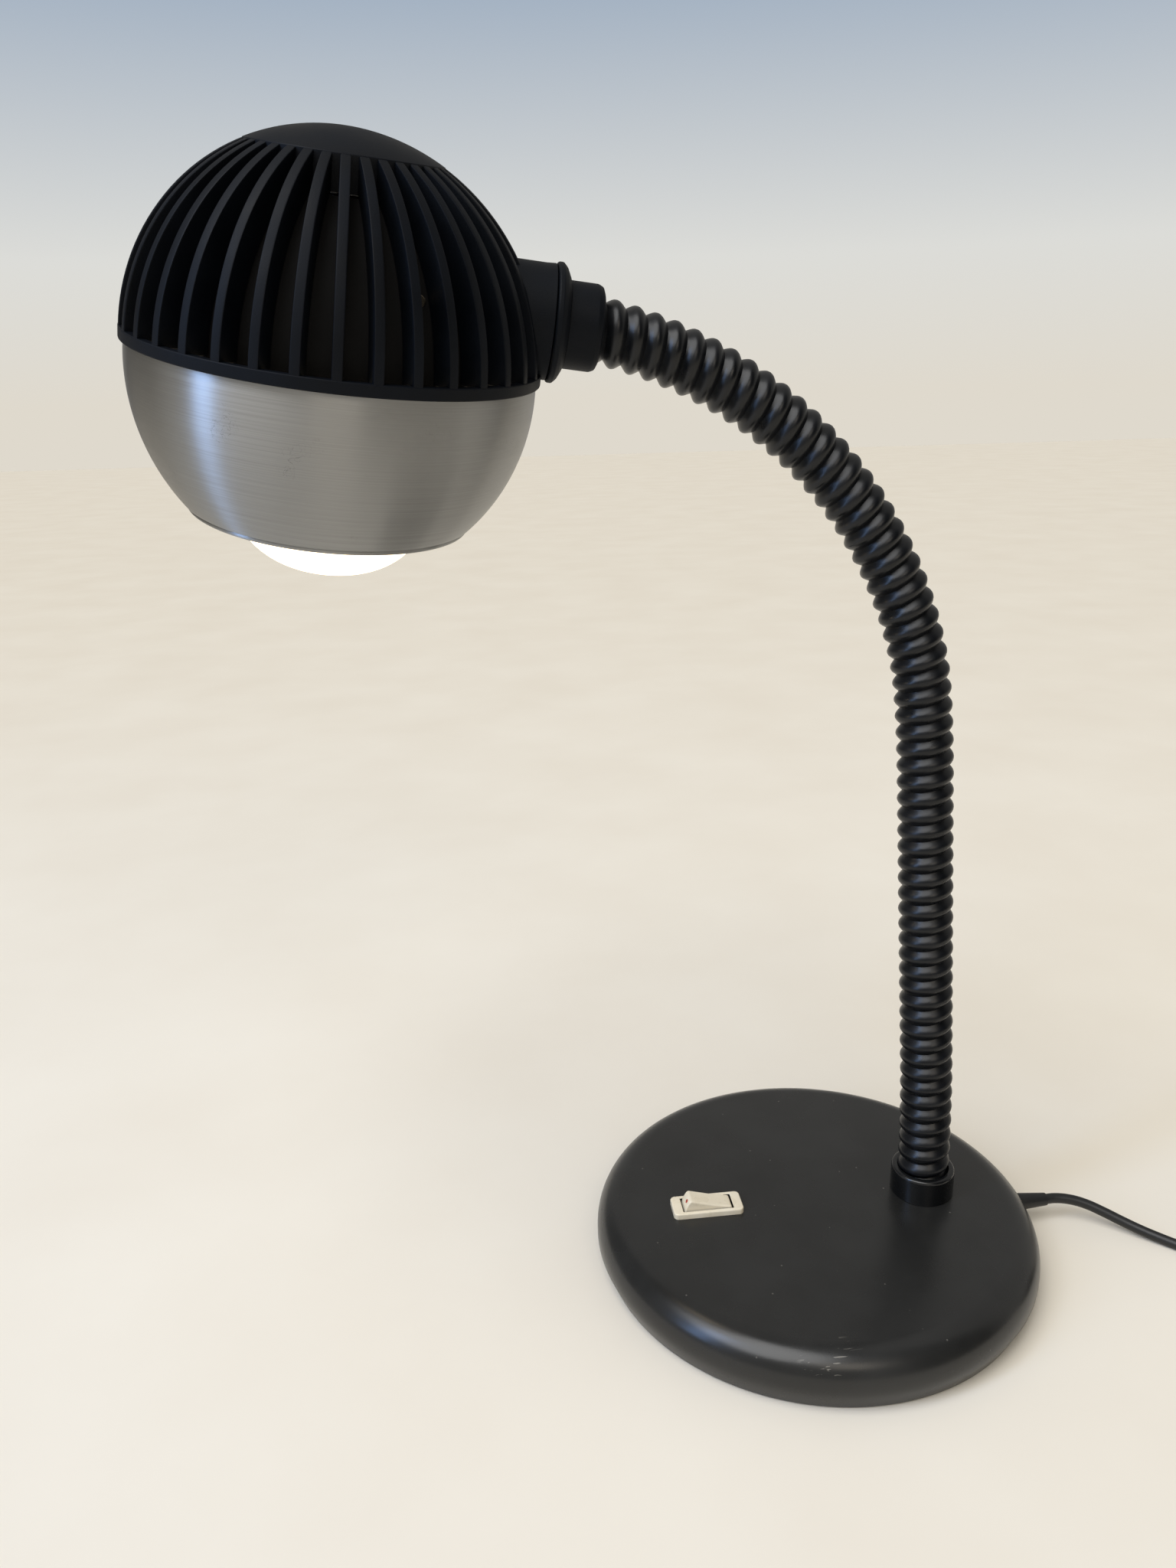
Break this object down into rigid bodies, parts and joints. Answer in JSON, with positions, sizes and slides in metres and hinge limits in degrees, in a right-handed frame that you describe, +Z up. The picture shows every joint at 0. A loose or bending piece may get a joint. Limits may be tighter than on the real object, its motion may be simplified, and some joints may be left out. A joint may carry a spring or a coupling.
{
  "type": "gooseneck desk lamp",
  "caption": "Desk lamp with a round weighted base, a rocker switch, a ribbed bendable neck and a ball-shaped swivelling head with a finned dome over a brushed bowl.",
  "frame": {"origin": "middle of the round base on the table", "axes": "+Z up, +X from the switch to the neck, -Y to the front"},
  "size_m": [0.479, 0.18, 0.4192],
  "materials": {
    "black_paint": "semi-gloss",
    "iron": "matte",
    "pad_rubber": "matte",
    "switch_cream": "gloss",
    "rocker_cream": "gloss",
    "black_gloss": "gloss",
    "black_plastic": "fine grain",
    "dark_tin": "matte",
    "brushed_aluminium": "brushed round",
    "holder_plastic": "satin",
    "cap_aluminium": "satin",
    "lead_brown": "satin",
    "clamp_white": "satin",
    "tie_grey": "satin",
    "pin_nickel": "polished",
    "zinc_steel": "zinc plated",
    "brass": "satin",
    "cord_black": "satin",
    "sleeve_black": "semi-gloss",
    "core_steel": "satin",
    "frosted_glass": "frosted, lit"
  },
  "bodies": {
    "base": {"base_shell": "black_paint", "base_weight": "iron", "base_plate": "zinc_steel", "foot_pads": "pad_rubber", "base_screws": "zinc_steel", "switch_body": "switch_cream", "switch_terminals": "brass", "neck_collar": "black_gloss", "neck_nipple": "brass", "neck_washer": "zinc_steel", "neck_nut": "zinc_steel", "cord_relief": "cord_black", "cord_clamp": "clamp_white", "clamp_screws": "zinc_steel", "base_leads": "lead_brown", "cord_inner": "cord_black", "cord_free": "cord_black", "cord_coil": "cord_black", "cord_tail": "cord_black", "cord_tie": "tie_grey", "plug_body": "black_gloss", "plug_pins": "pin_nickel", "neck_sleeve_0": "sleeve_black", "neck_core_0": "core_steel"},
    "rocker": {"switch_rocker": "rocker_cream"},
    "neck_1": {"neck_sleeve_1": "sleeve_black", "neck_core_1": "core_steel"},
    "neck_2": {"neck_sleeve_2": "sleeve_black", "neck_core_2": "core_steel"},
    "neck_3": {"neck_sleeve_3": "sleeve_black", "neck_core_3": "core_steel"},
    "neck_4": {"neck_sleeve_4": "sleeve_black", "neck_core_4": "core_steel"},
    "neck_5": {"neck_sleeve_5": "sleeve_black", "neck_core_5": "core_steel"},
    "neck_6": {"neck_sleeve_6": "sleeve_black", "neck_core_6": "core_steel"},
    "neck_7": {"neck_sleeve_7": "sleeve_black", "neck_core_7": "core_steel"},
    "neck_8": {"neck_sleeve_8": "sleeve_black", "neck_core_8": "core_steel", "neck_ferrule": "black_plastic", "swivel_ring": "black_plastic", "swivel_tube": "brass", "swivel_washer": "zinc_steel", "swivel_nut": "zinc_steel"},
    "head": {"dome_grille": "black_plastic", "heat_shield": "dark_tin", "lower_bowl": "brushed_aluminium", "holder_bracket": "zinc_steel", "bracket_screws": "zinc_steel", "lampholder_body": "holder_plastic", "lampholder_sleeve": "brass", "lampholder_tongue": "brass", "bulb_glass": "frosted_glass", "bulb_cap": "cap_aluminium", "bulb_contact": "holder_plastic", "head_leads": "lead_brown"}
  },
  "joints": [
    {"name": "switch_rock", "type": "hinge", "parent": "base", "child": "rocker", "pos_m": [-0.045, 0, 0.0218], "axis": [0, 1, 0], "range_deg": [-27, 0]},
    {"name": "neck_bend_1", "type": "hinge", "parent": "base", "child": "neck_1", "pos_m": [0.0468, 0, 0.0545], "axis": [0.0175, -0.9998, 0], "range_deg": [-14, 6]},
    {"name": "neck_side_2", "type": "hinge", "parent": "neck_1", "child": "neck_2", "pos_m": [0.04252, -0.00007, 0.11284], "axis": [-0.9972, -0.0174, -0.0732], "range_deg": [-12, 12]},
    {"name": "neck_side_3", "type": "hinge", "parent": "neck_2", "child": "neck_3", "pos_m": [0.03823, -0.00015, 0.17119], "axis": [-0.9972, -0.0174, -0.0732], "range_deg": [-12, 12]},
    {"name": "neck_bend_4", "type": "hinge", "parent": "neck_3", "child": "neck_4", "pos_m": [0.03347, -0.00023, 0.23601], "axis": [0.0175, -0.9998, 0], "range_deg": [-20, 8]},
    {"name": "neck_bend_5", "type": "hinge", "parent": "neck_4", "child": "neck_5", "pos_m": [0.01682, -0.00052, 0.28508], "axis": [0.0175, -0.9998, 0], "range_deg": [-20, 8]},
    {"name": "neck_side_6", "type": "hinge", "parent": "neck_5", "child": "neck_6", "pos_m": [0.00255, -0.00077, 0.30681], "axis": [-0.7312, -0.0128, -0.682], "range_deg": [-12, 12]},
    {"name": "neck_bend_7", "type": "hinge", "parent": "neck_6", "child": "neck_7", "pos_m": [-0.01518, -0.00108, 0.32582], "axis": [0.0175, -0.9998, 0], "range_deg": [-20, 8]},
    {"name": "neck_bend_8", "type": "hinge", "parent": "neck_7", "child": "neck_8", "pos_m": [-0.0589, -0.00185, 0.35362], "axis": [0.0175, -0.9998, 0], "range_deg": [-20, 8]},
    {"name": "head_swivel", "type": "hinge", "parent": "neck_8", "child": "head", "pos_m": [-0.09897, -0.00254, 0.36383], "axis": [0.9896, 0.0173, -0.1426], "range_deg": [-100, 80]}
  ]
}
